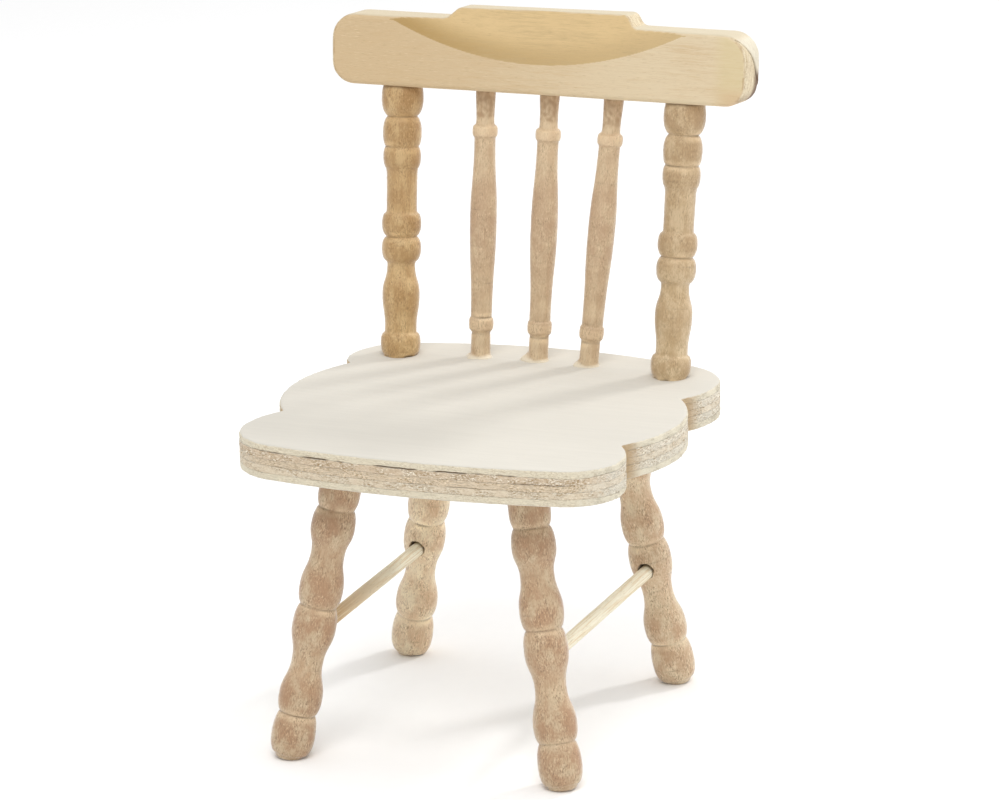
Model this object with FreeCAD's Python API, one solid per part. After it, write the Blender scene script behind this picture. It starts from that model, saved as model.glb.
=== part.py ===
import FreeCAD, Part
import math
import os

# Miniature spindle-back chair: a plywood seat on four turned legs, with two turned
# back posts and three spindles under a solid crest rail, and a dowel stretcher on
# each side. Every piece is glued into blind holes, so nothing moves.
#
# Frame: millimetres, +Z up, the chair faces -Y, and +X is to the right as seen from
# the front. The origin is on the floor at the centre of the chair's plan.

# ---------------------------------------------------------------- driving dimensions

# Seat board: five plies, notched on each side into three rounded lobes
SEAT_TOP = 45.4
PLY = 1.0
PLIES = ("seat_bottom_veneer", "seat_lower_crossband", "seat_core",
         "seat_upper_crossband", "seat_top_veneer")
SEAT_BOTTOM = SEAT_TOP - PLY * len(PLIES)
SEAT_HALF_DEPTH = 29.75
SEAT_FRONT_CORNER = (20.5, -27.95)
SEAT_REAR_CORNER = (19.6, 26.95)
# Widest points (x, y) of the lobes and the notches between them, from front to rear, with
# x counted outwards; the notches were cut by eye and the two sides differ
SEAT_SIDES = {
    "left": {"front_lobe": (27.3, -19.4), "front_notch": (24.9, -11.9),
             "middle_lobe": (28.95, 2.4), "rear_notch": (25.55, 13.8),
             "rear_lobe": (27.2, 17.9)},
    "right": {"front_lobe": (27.3, -20.4), "front_notch": (25.0, -13.8),
              "middle_lobe": (29.05, -2.6), "rear_notch": (25.4, 10.0),
              "rear_lobe": (27.95, 17.6)},
}

# Crest rail, measured in its own frame: x along it, z up from its lower edge
RAIL_BOTTOM = 83.6
RAIL_HALF_LENGTH = 30.75
RAIL_THICKNESS = 6.4
RAIL_END_HEIGHT = 10.0
RAIL_LOWER_CORNER_RADIUS = 3.2
RAIL_UPPER_CORNER_RADIUS = 3.6
RAIL_STEP_RADIUS = 1.1
# The step up to the raised middle on each side: (x of its foot, x of its head, height of
# its head); the two were cut by eye and differ a little
RAIL_STEPS = {"left": (-13.7, -12.1, 11.5), "right": (14.0, 12.9, 11.8)}
RAIL_TILT = 5.0
RAIL_EDGE_RADIUS = 0.7
SCOOP_LOW_POINT = 4.25
SCOOP_SLOPE = 0.30
SCOOP_RADIUS = 155.0
SCOOP_DRUM_LENGTH = 80.0

# Places (x, y) of the legs and posts on the right-hand side, mirrored for the left
LEG_TOPS = {"front": (13.1, -18.5), "back": (13.1, 17.9)}
LEG_FEET = {"front": (19.4, -24.1), "back": (20.0, 21.4)}
FOOT_BALL_HEIGHT = 3.15
POST_BASE = (20.3, 20.05)
POST_HEAD = (21.1, 25.2)

# Places (x, y) of the spindles' two ends; all three lean a little to the right
SPINDLE_BASES = {"left": (-8.9, 22.2), "centre": (-0.35, 22.7), "right": (7.4, 22.2)}
SPINDLE_HEADS = {"left": (-8.8, 26.0), "centre": (0.8, 26.0), "right": (10.35, 26.0)}

# Tenons and the blind holes that take them: (diameter, depth), and how far a tenon is
# carried back into its own piece so that the two make one solid
LEG_TENON = (4.0, 3.2)
POST_TENON = (3.4, 3.2)
POST_HEAD_TENON = (3.4, 4.5)
SPINDLE_END = (2.8, 3.0)
TENON_ROOT = 1.0

# Stretchers
STRETCHER_DIAMETER = 1.9
STRETCHER_HEIGHT = 17.1
STRETCHER_REACH = 1.1
BACK_SOCKET_DIAMETER = 2.4
SOCKET_RUN = 6.0

# Turned outlines: (height along the axis, diameter, True where the curve runs
# parallel to the axis, as on a swell or a waist, and False at a groove or an end)
LEG_OUTLINE = (
    (-3.40, 3.1, False), (-2.55, 4.9, False), (0.00, 6.0, True), (3.08, 4.9, False),
    (5.40, 6.0, True), (10.50, 4.3, True), (15.60, 6.0, True), (18.45, 4.9, False),
    (20.90, 6.0, True), (25.80, 4.6, True), (29.60, 6.0, True), (32.30, 4.9, False),
    (34.40, 5.7, True), (39.60, 5.5, True),
)
POST_OUTLINE = (
    (-0.60, 4.7, False), (0.00, 4.9, False), (1.80, 5.7, True), (3.00, 5.1, False),
    (3.20, 4.55, False), (3.90, 4.5, True), (8.60, 5.3, True), (12.80, 3.95, True),
    (13.30, 4.15, False), (13.55, 4.75, False), (15.30, 5.6, True), (16.90, 4.4, False),
    (18.75, 5.6, True), (20.15, 4.95, False), (20.35, 4.4, False), (21.00, 4.3, True),
    (25.60, 4.35, True), (26.60, 4.6, False), (28.30, 5.35, True), (29.70, 4.75, False),
    (31.80, 5.5, True), (34.00, 4.25, False), (36.50, 5.9, True), (39.40, 4.5, False),
)
SPINDLE_OUTLINE = (
    (0.00, 2.8, True), (3.40, 2.75, True), (3.75, 2.85, False), (3.90, 3.25, False),
    (4.70, 3.5, True), (5.60, 3.3, False), (5.75, 3.0, False), (6.30, 3.0, True),
    (19.40, 3.8, True), (31.00, 3.0, True), (31.45, 3.1, False), (31.60, 3.4, False),
    (32.35, 3.6, True), (33.05, 3.3, False), (33.25, 2.7, False), (34.00, 2.55, True),
    (38.30, 2.8, True),
)


# ---------------------------------------------------------------- helpers

def vector(x, y, z=0.0):
    return FreeCAD.Vector(x, y, z)


def arc(start, through, end):
    """Edge of a circular arc in the XY plane through three (x, y) points."""
    return Part.Arc(vector(*start), vector(*through), vector(*end)).toShape()


def rounded_polygon(corners):
    """Closed wire of straight lines joined by tangent arcs, from (x, y, radius) corners."""
    edges = []
    cut_ends = []
    for index, (x, y, radius) in enumerate(corners):
        here = vector(x, y)
        to_last = (vector(*corners[index - 1][:2]) - here).normalize()
        to_next = (vector(*corners[(index + 1) % len(corners)][:2]) - here).normalize()
        half_angle = to_last.getAngle(to_next) / 2
        setback = radius / math.tan(half_angle)
        bisector = (to_last + to_next).normalize()
        middle = here + bisector * (radius / math.sin(half_angle) - radius)
        start, end = here + to_last * setback, here + to_next * setback
        edges.append(Part.Arc(start, middle, end).toShape())
        cut_ends.append((start, end))
    for (_, end), (start, _) in zip(cut_ends, cut_ends[1:] + cut_ends[:1]):
        edges.append(Part.makeLine(end, start))
    return Part.Wire(Part.__sortEdges__(edges))


def turned_stretch(low, high):
    """Curve between two stations of a turned outline, in the XZ plane."""
    (z_low, d_low, low_is_smooth) = low
    (z_high, d_high, high_is_smooth) = high
    r_low, r_high = d_low / 2, d_high / 2
    rise, swell = z_high - z_low, r_high - r_low
    after_low = vector(r_low, 0, z_low + 0.5 * rise)
    if not low_is_smooth:
        after_low = vector(r_low + 0.6 * swell, 0, z_low + 0.2 * rise)
    before_high = vector(r_high, 0, z_high - 0.5 * rise)
    if not high_is_smooth:
        before_high = vector(r_high - 0.6 * swell, 0, z_high - 0.2 * rise)
    curve = Part.BezierCurve()
    curve.setPoles([vector(r_low, 0, z_low), after_low, before_high, vector(r_high, 0, z_high)])
    return curve.toShape()


def turned(outline):
    """Solid of revolution about Z from a list of stations."""
    edges = [turned_stretch(low, high) for low, high in zip(outline, outline[1:])]
    (z_low, d_low, _), (z_high, d_high, _) = outline[0], outline[-1]
    corners = [vector(d_high / 2, 0, z_high), vector(0, 0, z_high),
               vector(0, 0, z_low), vector(d_low / 2, 0, z_low)]
    edges += [Part.makeLine(a, b) for a, b in zip(corners, corners[1:])]
    face = Part.Face(Part.Wire(Part.__sortEdges__(edges)))
    return face.revolve(vector(0, 0, 0), vector(0, 0, 1), 360)


def along(shape, start, end):
    """A copy of a shape made about +Z, moved to start and turned to point at end."""
    placed = shape.copy()
    placed.Placement = FreeCAD.Placement(start, FreeCAD.Rotation(vector(0, 0, 1), end - start))
    return placed


def peg(diameter, low, high):
    """Cylinder about Z between two heights."""
    return Part.makeCylinder(diameter / 2, high - low, vector(0, 0, low))


def slab(z_low, z_high):
    """Block wider than the chair, used to trim a leaning piece along a level plane."""
    return Part.makeBox(200, 200, z_high - z_low, vector(-100, -100, z_low))


def point_at_height(start, end, z):
    """Where the line from start to end crosses a height."""
    return start + (end - start) * ((z - start.z) / (end.z - start.z))


# ---------------------------------------------------------------- axes of the turned pieces

def leg_axis(end, side):
    """Centre of the foot's ball and centre of the leg at the seat's underside."""
    foot_x, foot_y = LEG_FEET[end]
    top_x, top_y = LEG_TOPS[end]
    return (vector(side * foot_x, foot_y, FOOT_BALL_HEIGHT),
            vector(side * top_x, top_y, SEAT_BOTTOM))


def back_axis(base, head):
    """Axis of a post or spindle from the seat's top face to the rail's lower edge."""
    return vector(*base, SEAT_TOP), vector(*head, RAIL_BOTTOM)


def stretcher_axis(side):
    """Points where a side stretcher's centre line meets the axes of its two legs."""
    front = point_at_height(*leg_axis("front", side), STRETCHER_HEIGHT)
    back = point_at_height(*leg_axis("back", side), STRETCHER_HEIGHT)
    return front, back


SIDES = {"left": -1, "right": 1}
POSTS = {"back_post_" + name: back_axis((side * POST_BASE[0], POST_BASE[1]),
                                        (side * POST_HEAD[0], POST_HEAD[1]))
         for name, side in SIDES.items()}
SPINDLES = {"spindle_" + name: back_axis(base, SPINDLE_HEADS[name])
            for name, base in SPINDLE_BASES.items()}
LEGS = {"leg_" + end + "_" + name: leg_axis(end, side)
        for end in LEG_TOPS for name, side in SIDES.items()}


# ---------------------------------------------------------------- tenons

def leg_tenon(foot, top):
    diameter, depth = LEG_TENON
    length = (top - foot).Length
    return along(peg(diameter, length - 2 * TENON_ROOT, length + depth), foot, top)


def seat_tenon(size, base, head):
    """Lower end of a post or spindle, let into the seat."""
    diameter, depth = size
    return along(peg(diameter, -depth, TENON_ROOT), base, head)


def rail_tenon(size, base, head):
    """Upper end of a post or spindle, let into the crest rail."""
    diameter, depth = size
    length = (head - base).Length
    return along(peg(diameter, length - TENON_ROOT, length + depth), base, head)


# ---------------------------------------------------------------- pieces

def lobe_flank(widest, end):
    """Arc that leaves a lobe's widest point square to x and runs round to `end`."""
    across = widest[0] - end[0]
    along_side = end[1] - widest[1]
    radius = (across ** 2 + along_side ** 2) / (2 * across)
    half_turn = math.atan2(across, abs(along_side))
    middle = (widest[0] - radius * (1 - math.cos(half_turn)),
              widest[1] + math.copysign(radius * math.sin(half_turn), along_side))
    return [widest, middle, end]


def seat_side(name):
    """The arcs of the three lobes on one side, from the front corner to the rear one."""
    side = SEAT_SIDES[name]
    arcs = [
        lobe_flank(side["front_lobe"], SEAT_FRONT_CORNER)[::-1],
        lobe_flank(side["front_lobe"], side["front_notch"]),
        [side["front_notch"], side["middle_lobe"], side["rear_notch"]],
        lobe_flank(side["rear_lobe"], side["rear_notch"])[::-1],
        lobe_flank(side["rear_lobe"], SEAT_REAR_CORNER),
    ]
    return [[(SIDES[name] * x, y) for x, y in points] for points in arcs]


def seat_outline():
    """Plan of the seat: bowed front and rear edges joined by three lobes a side."""
    right = seat_side("right")
    left = [points[::-1] for points in seat_side("left")[::-1]]
    front = [left[-1][-1], (0, -SEAT_HALF_DEPTH), right[0][0]]
    rear = [right[-1][-1], (0, SEAT_HALF_DEPTH), left[0][0]]
    return Part.Wire([arc(*points) for points in [front] + right + [rear] + left])


def seat_ply(index, sockets):
    """One veneer of the seat, with the blind holes that reach into it."""
    base = SEAT_BOTTOM + index * PLY
    sheet = Part.Face(seat_outline()).extrude(vector(0, 0, PLY))
    sheet.translate(vector(0, 0, base))
    return sheet.cut(sockets)


def crest_rail(sockets):
    """Solid rail with rounded ends, a raised middle and a scooped upper front face."""
    def end_and_step(name):
        end = SIDES[name] * RAIL_HALF_LENGTH
        foot_x, head_x, head_height = RAIL_STEPS[name]
        return [(end, 0, RAIL_LOWER_CORNER_RADIUS),
                (end, RAIL_END_HEIGHT, RAIL_UPPER_CORNER_RADIUS),
                (foot_x, RAIL_END_HEIGHT, RAIL_STEP_RADIUS),
                (head_x, head_height, RAIL_STEP_RADIUS)]

    outline = rounded_polygon(end_and_step("right") + end_and_step("left")[::-1])
    board = Part.Face(outline).extrude(vector(0, 0, RAIL_THICKNESS))
    rims = [e for e in board.Edges
            if abs(e.Vertexes[0].Z - e.Vertexes[-1].Z) < 1e-6]
    board = board.makeFillet(RAIL_EDGE_RADIUS, rims)
    # The board is drawn lying down: stand it up, centred on its own thickness
    board.rotate(vector(0, 0, 0), vector(1, 0, 0), 90)
    board.translate(vector(0, RAIL_THICKNESS / 2, 0))
    # The scoop is a very wide drum, tipped so that it bites deeper towards the top
    drum = Part.makeCylinder(SCOOP_RADIUS, SCOOP_DRUM_LENGTH, vector(0, 0, -SCOOP_DRUM_LENGTH / 2))
    drum.translate(vector(0, -SCOOP_RADIUS, 0))
    drum.Placement = FreeCAD.Placement(
        vector(0, -RAIL_THICKNESS / 2, SCOOP_LOW_POINT),
        FreeCAD.Rotation(vector(0, 0, 1), vector(0, SCOOP_SLOPE, 1)),
    ).multiply(drum.Placement)
    board = board.cut(drum)
    board.rotate(vector(0, 0, 0), vector(1, 0, 0), -RAIL_TILT)
    board.translate(vector(0, POST_HEAD[1], RAIL_BOTTOM))
    return board.cut(sockets)


def leg(foot, top, stretcher_socket):
    """Turned leg with a ball foot, trimmed level at the seat and at the floor."""
    body = along(turned(LEG_OUTLINE), foot, top)
    body = body.cut(slab(SEAT_BOTTOM, SEAT_BOTTOM + 10)).cut(slab(-10, 0))
    return body.fuse(leg_tenon(foot, top)).removeSplitter().cut(stretcher_socket)


def back_post(base, head, rail):
    """Turned post, standing on the seat and shouldered under the crest rail."""
    body = along(turned(POST_OUTLINE), base, head)
    body = body.cut(slab(SEAT_TOP - 10, SEAT_TOP)).cut(rail)
    tenons = [seat_tenon(POST_TENON, base, head), rail_tenon(POST_HEAD_TENON, base, head)]
    return body.fuse(tenons).removeSplitter()


def spindle(base, head):
    """Thin turned spindle whose plain ends are let into the seat and the rail."""
    ends = [seat_tenon(SPINDLE_END, base, head), rail_tenon(SPINDLE_END, base, head)]
    return along(turned(SPINDLE_OUTLINE), base, head).fuse(ends).removeSplitter()


def stretcher(side):
    """Plain dowel between a front and a back leg."""
    front, back = stretcher_axis(side)
    length = (back - front).Length
    dowel = peg(STRETCHER_DIAMETER, -STRETCHER_REACH, length + STRETCHER_REACH)
    return along(dowel, front, back)


def stretcher_sockets(side):
    """Holes for a stretcher: a close one in front, a loose one drilled high behind."""
    front, back = stretcher_axis(side)
    length = (back - front).Length
    close = along(peg(STRETCHER_DIAMETER, -STRETCHER_REACH, SOCKET_RUN), front, back)
    loose = peg(BACK_SOCKET_DIAMETER, length - SOCKET_RUN, length + STRETCHER_REACH)
    loose = along(loose, front, back)
    loose.translate(vector(0, 0, (BACK_SOCKET_DIAMETER - STRETCHER_DIAMETER) / 2))
    return {"front": close, "back": loose}


# ---------------------------------------------------------------- assembly

def build():
    """Every piece of the chair, by name."""
    seat_sockets = [leg_tenon(*axis) for axis in LEGS.values()]
    seat_sockets += [seat_tenon(POST_TENON, *axis) for axis in POSTS.values()]
    seat_sockets += [seat_tenon(SPINDLE_END, *axis) for axis in SPINDLES.values()]
    rail_sockets = [rail_tenon(POST_HEAD_TENON, *axis) for axis in POSTS.values()]
    rail_sockets += [rail_tenon(SPINDLE_END, *axis) for axis in SPINDLES.values()]

    pieces = {name: seat_ply(index, seat_sockets) for index, name in enumerate(PLIES)}
    rail = crest_rail([])
    pieces["crest_rail"] = rail.cut(rail_sockets)
    for name, axis in POSTS.items():
        pieces[name] = back_post(*axis, rail)
    for name, axis in SPINDLES.items():
        pieces[name] = spindle(*axis)
    for side_name, side in SIDES.items():
        sockets = stretcher_sockets(side)
        for end in LEG_TOPS:
            pieces["leg_" + end + "_" + side_name] = leg(*leg_axis(end, side), sockets[end])
        pieces["stretcher_" + side_name] = stretcher(side)
    return pieces


os.makedirs("parts", exist_ok=True)
for piece_name, shape in build().items():
    shape.exportStep("parts/" + piece_name + ".step")
    box = shape.BoundBox
    print("%-22s solids %d valid %s volume %8.2f  x %6.2f %6.2f  y %6.2f %6.2f  z %6.2f %6.2f" % (
        piece_name, len(shape.Solids), shape.isValid(), shape.Volume,
        box.XMin, box.XMax, box.YMin, box.YMax, box.ZMin, box.ZMax))
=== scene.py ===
import math

import bmesh
import bpy
import numpy as np
from mathutils import Matrix, Vector, noise
from mathutils.bvhtree import BVHTree


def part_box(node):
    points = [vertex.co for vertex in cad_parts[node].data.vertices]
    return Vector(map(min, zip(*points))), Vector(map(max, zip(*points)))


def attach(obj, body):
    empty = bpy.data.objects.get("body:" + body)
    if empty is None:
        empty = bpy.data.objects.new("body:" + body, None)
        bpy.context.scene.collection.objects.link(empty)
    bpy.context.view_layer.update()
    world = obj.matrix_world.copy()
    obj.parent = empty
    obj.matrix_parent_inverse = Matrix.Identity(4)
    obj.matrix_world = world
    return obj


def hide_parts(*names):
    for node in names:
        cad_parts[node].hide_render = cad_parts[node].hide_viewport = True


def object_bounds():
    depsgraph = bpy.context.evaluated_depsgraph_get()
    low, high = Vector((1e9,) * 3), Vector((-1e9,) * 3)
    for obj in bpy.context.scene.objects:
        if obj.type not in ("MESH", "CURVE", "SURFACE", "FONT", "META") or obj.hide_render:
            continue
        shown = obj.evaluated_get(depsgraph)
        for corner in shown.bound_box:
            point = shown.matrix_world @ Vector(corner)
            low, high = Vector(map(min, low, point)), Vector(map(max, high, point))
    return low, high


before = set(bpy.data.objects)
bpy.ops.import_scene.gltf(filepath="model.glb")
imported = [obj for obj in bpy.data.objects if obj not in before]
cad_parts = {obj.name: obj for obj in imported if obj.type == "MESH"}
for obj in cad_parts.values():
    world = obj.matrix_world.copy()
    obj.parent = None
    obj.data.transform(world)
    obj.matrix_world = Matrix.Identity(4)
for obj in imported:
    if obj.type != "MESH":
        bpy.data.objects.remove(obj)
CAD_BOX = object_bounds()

# A miniature spindle-back chair in bare wood. Lengths are in millimetres times MM, so
# that they read like the drawing. The chair faces -Y and stands on z = 0. Left and right
# are as seen from its front, so the right is +X.
MM = 0.001
BODY = "root"

PLIES = ("seat_bottom_veneer", "seat_lower_crossband", "seat_core",
         "seat_upper_crossband", "seat_top_veneer")
CROSSBANDS = (1, 3)
LEGS = ("leg_front_left", "leg_front_right", "leg_back_left", "leg_back_right")
POSTS = ("back_post_left", "back_post_right")
SPINDLES = ("spindle_left", "spindle_centre", "spindle_right")
STRETCHERS = ("stretcher_left", "stretcher_right")
RAIL = "crest_rail"

SEAT_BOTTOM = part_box(PLIES[0])[0].z
SEAT_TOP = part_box(PLIES[-1])[1].z
CENTRE = (CAD_BOX[0] + CAD_BOX[1]) / 2


# ---------------------------------------------------------------- shared helpers

def speckle(place, size, seed):
    """Smooth noise from -1 to 1 whose blobs are about `size` across (one size per axis)."""
    return noise.noise(Vector((place[0] / size[0] + seed, place[1] / size[1] - seed,
                               place[2] / size[2] + 2 * seed)))


def smooth_step(value, low, high):
    """0 at `low` and 1 at `high`, with an easy start and stop; low may be the larger."""
    share = min(1.0, max(0.0, (value - low) / (high - low)))
    return share * share * (3 - 2 * share)


def clamped(value, low, high):
    """The value, kept from passing either limit."""
    return min(high, max(low, value))


def link(name, mesh):
    """The mesh as an object in the scene."""
    thing = bpy.data.objects.new(name, mesh)
    bpy.context.scene.collection.objects.link(thing)
    return thing


def evaluated_mesh(thing):
    """A plain mesh of the object as its modifiers leave it, without materials."""
    bpy.context.view_layer.update()
    graph = bpy.context.evaluated_depsgraph_get()
    mesh = bpy.data.meshes.new_from_object(thing.evaluated_get(graph))
    mesh.materials.clear()
    return mesh


def solid_tree(node):
    """A CAD node's surface, for casting rays at."""
    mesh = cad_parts[node].data
    return BVHTree.FromPolygons([v.co.copy() for v in mesh.vertices],
                                [tuple(p.vertices) for p in mesh.polygons])


def new_piece(name, mesh, material, node, place=None):
    """A finished mesh as a piece of the chair that stands for one CAD node."""
    piece = link(name, mesh)
    if place is not None:
        piece.matrix_world = place
    bpy.context.view_layer.update()
    mesh.materials.append(material)
    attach(piece, BODY)
    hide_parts(node)


def seeded(nodes, first):
    """Each node with a seed of its own for its random draws."""
    return [(node, first + 7 * index) for index, node in enumerate(nodes)]


def grid_faces(rows, columns):
    """Quads of a tube: `rows` rings of `columns` points, each ring closed on itself."""
    return [(r * columns + c, r * columns + (c + 1) % columns,
             (r + 1) * columns + (c + 1) % columns, (r + 1) * columns + c)
            for r in range(rows - 1) for c in range(columns)]


def tube_faces(rows, columns):
    """The same tube with a flat face at each end."""
    ends = [tuple(range(columns))[::-1], tuple(range((rows - 1) * columns, rows * columns))]
    return grid_faces(rows, columns) + ends


def directions_round(count):
    """Unit vectors evenly round the z axis."""
    angles = [2 * math.pi * turn / count for turn in range(count)]
    return [Vector((math.cos(angle), math.sin(angle), 0)) for angle in angles]


def store(mesh, name, values):
    """One number per vertex, for a material to read."""
    layer = mesh.attributes.new(name, "FLOAT", "POINT")
    layer.data.foreach_set("value", np.asarray(values, np.float32))


# ---------------------------------------------------------------- material building

class Wood:
    """A wood material, built up node by node. Its lengths are in millimetres."""

    def __init__(self, name):
        self.material = bpy.data.materials.new(name)
        self.material.use_nodes = True
        self.tree = self.material.node_tree
        self.tree.nodes.clear()
        self.shader = self.add("ShaderNodeBsdfPrincipled")
        output = self.add("ShaderNodeOutputMaterial")
        self.tree.links.new(self.shader.outputs["BSDF"], output.inputs["Surface"])
        self.spot = self.add("ShaderNodeTexCoord").outputs["Object"]

    def add(self, kind, inputs=(), **settings):
        """A new shader node; each input gets a value or a link."""
        node = self.tree.nodes.new(kind)
        for key, value in settings.items():
            setattr(node, key, value)
        for key, value in dict(inputs).items():
            self.put(node.inputs[key], value)
        return node

    def put(self, socket, value):
        if isinstance(value, bpy.types.NodeSocket):
            self.tree.links.new(value, socket)
        else:
            socket.default_value = value

    def math(self, operation, a, b=0.0):
        return self.add("ShaderNodeMath", {0: a, 1: b}, operation=operation).outputs[0]

    def times(self, a, b):
        return self.math("MULTIPLY", a, b)

    def total(self, *parts):
        """The sum of some values, each given with its weight."""
        terms = [self.times(value, weight) for value, weight in parts]
        result = terms[0]
        for term in terms[1:]:
            result = self.math("ADD", result, term)
        return result

    def stretched(self, size, shift):
        """The place on the piece, measured in blobs of that size in mm along x, y and z."""
        factors = tuple(1 / (MM * length) for length in size)
        node = self.add("ShaderNodeVectorMath", {0: self.spot, 1: factors, 2: (shift,) * 3},
                        operation="MULTIPLY_ADD")
        return node.outputs[0]

    def noise(self, size, shift=0.0, detail=2.0, roughness=0.5, distortion=0.0):
        """Smooth noise from 0 to 1 in blobs of that size; shift moves it elsewhere."""
        node = self.add("ShaderNodeTexNoise", {
            "Vector": self.stretched(size, shift), "Scale": 1.0, "Detail": detail,
            "Roughness": roughness, "Distortion": distortion})
        return node.outputs["Fac"]

    def between(self, value, low, high, out_low=0.0, out_high=1.0):
        """An eased step from out_low at `low` to out_high at `high`; low may be the larger."""
        node = self.add("ShaderNodeMapRange", {
            "Value": value, "From Min": low, "From Max": high,
            "To Min": out_low, "To Max": out_high}, interpolation_type="SMOOTHSTEP")
        return node.outputs["Result"]

    def mix(self, share, a, b, blend="MIX"):
        """Colour a where share is 0, and where it is 1 the result of blending b into it."""
        node = self.add("ShaderNodeMix", data_type="RGBA", blend_type=blend)
        self.put(node.inputs["Factor"], share)
        for socket, value in ((node.inputs[6], a), (node.inputs[7], b)):
            self.put(socket, value if isinstance(value, bpy.types.NodeSocket) else (*value, 1))
        return node.outputs[2]

    def attribute(self, name):
        """What `store` left on the mesh under that name."""
        return self.add("ShaderNodeAttribute", attribute_name=name).outputs["Fac"]

    def direction(self):
        """The surface's own normal, as x, y and z."""
        normal = self.add("ShaderNodeTexCoord").outputs["Normal"]
        return self.add("ShaderNodeSeparateXYZ", {0: normal}).outputs

    def finish(self, colour, roughness, height, relief, specular=0.25):
        """The finished material. Its bump is height times relief, which is in millimetres."""
        bump = self.add("ShaderNodeBump", {"Height": height, "Strength": 1.0,
                                           "Distance": relief * MM})
        self.put(self.shader.inputs["Base Color"], colour)
        self.put(self.shader.inputs["Roughness"], roughness)
        self.put(self.shader.inputs["Normal"], bump.outputs["Normal"])
        self.put(self.shader.inputs["Specular IOR Level"], specular)
        return self.material


def scaled(colour, factor):
    """A lighter or darker form of a colour."""
    return tuple(min(1.0, factor * value) for value in colour)


# ---------------------------------------------------------------- turned wood

GLUE_COLOUR = (0.82, 0.75, 0.60)
STAIN_COLOUR = (0.42, 0.27, 0.15)
# What a full tone mark multiplies the wood's red, green and blue by
PALER_GAIN = (1.48, 1.62, 1.74)


def turned_wood(name, pale, deep, blush, shift, speckled, streaked):
    """Bare turned wood, grain along its z: burnished on the swells, paler by the grooves."""
    wood = Wood(name)
    fibre = wood.noise((0.14, 0.14, 2.4), shift + 3, detail=3.0, roughness=0.65)
    streak = wood.noise((0.55, 0.55, 7.0), shift + 5, detail=2.0, distortion=0.3)
    blotch = wood.noise((2.2, 2.2, 3.0), shift + 7, detail=3.0, roughness=0.6)
    fleck = wood.noise((0.17, 0.17, 0.45), shift + 11, detail=2.0, roughness=0.7)
    streak_weight = 0.35 * streaked
    tone = wood.total((streak, streak_weight), (fibre, 0.35), (blotch, 0.6))
    middle = 0.5 * (streak_weight + 0.95)
    colour = wood.mix(wood.between(tone, middle - 0.15, middle + 0.17), pale, deep)

    ragged = wood.total((blotch, 0.65), (fleck, 0.35))
    burnish = wood.times(wood.attribute("swell"), wood.between(ragged, 0.36, 0.60))
    burnish = wood.times(burnish, wood.between(wood.attribute("tone"), 0.2, 1, 1, 0.45))
    colour = wood.mix(wood.times(burnish, 0.9), colour, blush)
    light = scaled(pale, 1.35)
    colour = wood.mix(wood.times(wood.attribute("pale"), 0.85), colour, light)
    colour = speckled_with(wood, colour, fleck, scaled(deep, 0.6), light, shift, speckled)
    colour = with_marks(wood, colour, shadowed=scaled(deep, 0.42))

    wood.put(wood.shader.inputs["Sheen Weight"], 0.9)
    wood.put(wood.shader.inputs["Sheen Roughness"], 0.3)
    height = wood.total((fleck, -0.6), (fibre, 0.6))
    return wood.finish(colour, wood.between(fleck, 0.3, 0.7, 0.5, 0.7), height, 0.06,
                       specular=0.55)


def speckled_with(wood, colour, fleck, dark, light, shift, speckled):
    """The colour with dark spots and pale glints, in patches, and fine dark pores."""
    patch = wood.between(wood.noise((1.5, 1.5, 2.0), shift + 23), 0.40, 0.62, 0.25, 1.0)
    spots = wood.times(wood.between(fleck, 0.53, 0.65, 0.0, 0.8 * speckled), patch)
    colour = wood.mix(spots, colour, dark)
    glints = wood.times(wood.between(fleck, 0.46, 0.30, 0.0, 0.55 * speckled), patch)
    colour = wood.mix(glints, colour, light)
    pore = wood.noise((0.11, 0.11, 0.7), shift + 17, detail=1.0)
    return wood.mix(wood.between(pore, 0.62, 0.76, 0.0, 0.55), colour, dark)


def with_marks(wood, colour, shadowed):
    """The colour as the piece's marks change it: tone, stain, painted shade in grooves, and
    glue.
    """
    colour = wood.mix(wood.attribute("tone"), colour, PALER_GAIN, "MULTIPLY")
    colour = wood.mix(wood.attribute("stain"), colour, STAIN_COLOUR)
    # Painted shade: the groove mark darkens grooves, tool scratches, a worn foot's gap and the
    # rail joint.
    colour = wood.mix(wood.times(wood.attribute("groove"), 0.7), colour, shadowed)
    return wood.mix(wood.attribute("glue"), colour, GLUE_COLOUR)


def leg_wood():
    return turned_wood("bare_leg_wood", (0.57, 0.44, 0.285), (0.46, 0.295, 0.17),
                       blush=(0.40, 0.23, 0.125), shift=4.0, speckled=1.2, streaked=0.5)


def post_wood():
    return turned_wood("bare_post_wood", (0.57, 0.39, 0.19), (0.415, 0.245, 0.10),
                       blush=(0.385, 0.22, 0.083), shift=40.0, speckled=0.7, streaked=1.2)


def greyer_post_wood():
    return turned_wood("greyer_post_wood", (0.58, 0.435, 0.265), (0.435, 0.30, 0.155),
                       blush=(0.405, 0.262, 0.135), shift=60.0, speckled=0.6, streaked=1.2)


def spindle_wood():
    return turned_wood("bare_spindle_wood", (0.67, 0.52, 0.335), (0.53, 0.37, 0.22),
                       blush=(0.50, 0.33, 0.205), shift=80.0, speckled=0.6, streaked=0.9)


def dowel_wood():
    """Straight-grained dowel: long pale streaks and a few fine pores."""
    pale, deep, shift = (0.85, 0.80, 0.64), (0.72, 0.58, 0.38), 2.0
    wood = Wood("bare_dowel_wood")
    streak = wood.noise((0.25, 0.25, 11.0), shift, detail=3.0, roughness=0.6)
    pore = wood.noise((0.09, 0.09, 1.2), shift + 5, detail=1.0)
    warm = wood.mix(wood.attribute("tone"), pale, (0.58, 0.39, 0.21))
    colour = wood.mix(wood.between(streak, 0.42, 0.64), warm, deep)
    colour = wood.mix(wood.between(pore, 0.60, 0.74, 0.0, 0.6), colour, scaled(deep, 0.62))
    return wood.finish(colour, 0.7, streak, 0.04)


# ---------------------------------------------------------------- the rail's wood

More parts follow.
